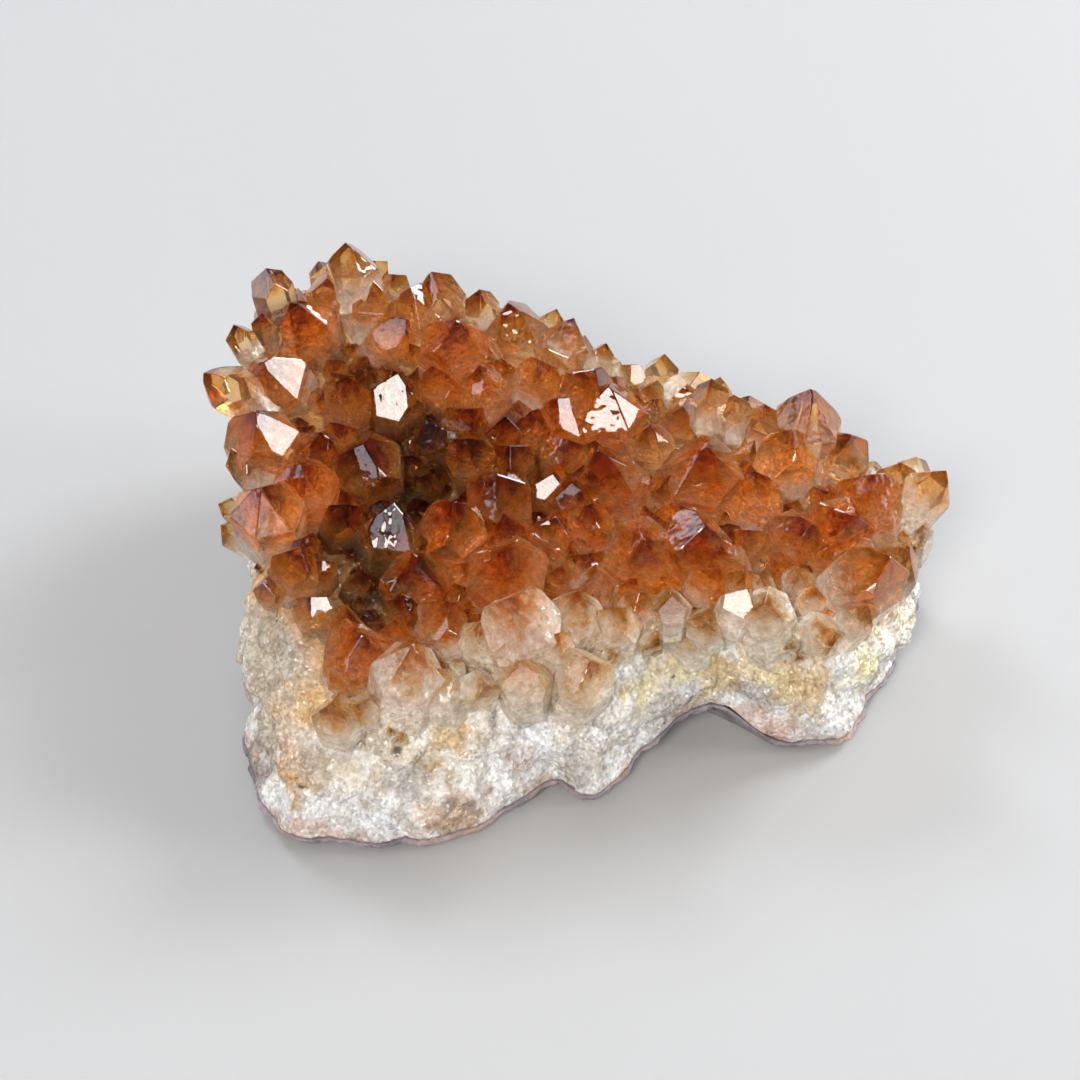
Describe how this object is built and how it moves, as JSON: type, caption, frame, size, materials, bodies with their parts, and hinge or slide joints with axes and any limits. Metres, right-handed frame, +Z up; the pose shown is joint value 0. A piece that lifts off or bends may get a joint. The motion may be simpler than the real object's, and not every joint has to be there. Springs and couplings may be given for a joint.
{
  "type": "citrine crystal cluster",
  "caption": "Slab of geode crust with amber quartz points on a milky quartz bed, on a thin rock rind that rests flat.",
  "frame": {"origin": "the middle of the flat that the slab rests on", "axes": "+Z up, +X to the right along the slab's longest extent, +Y away from its broken front wall"},
  "size_m": [0.1147, 0.0936, 0.0432],
  "materials": {
    "citrine_quartz": "clear amber points with flat shiny faces, turning to milky sugary quartz at their roots and on the broken wall",
    "rind_rock": "matt grey-lavender to pinkish-brown host rock, rough and broken"
  },
  "bodies": {
    "root": {"citrine_crystals": "citrine_quartz", "rock_rind": "rind_rock"}
  },
  "joints": []
}
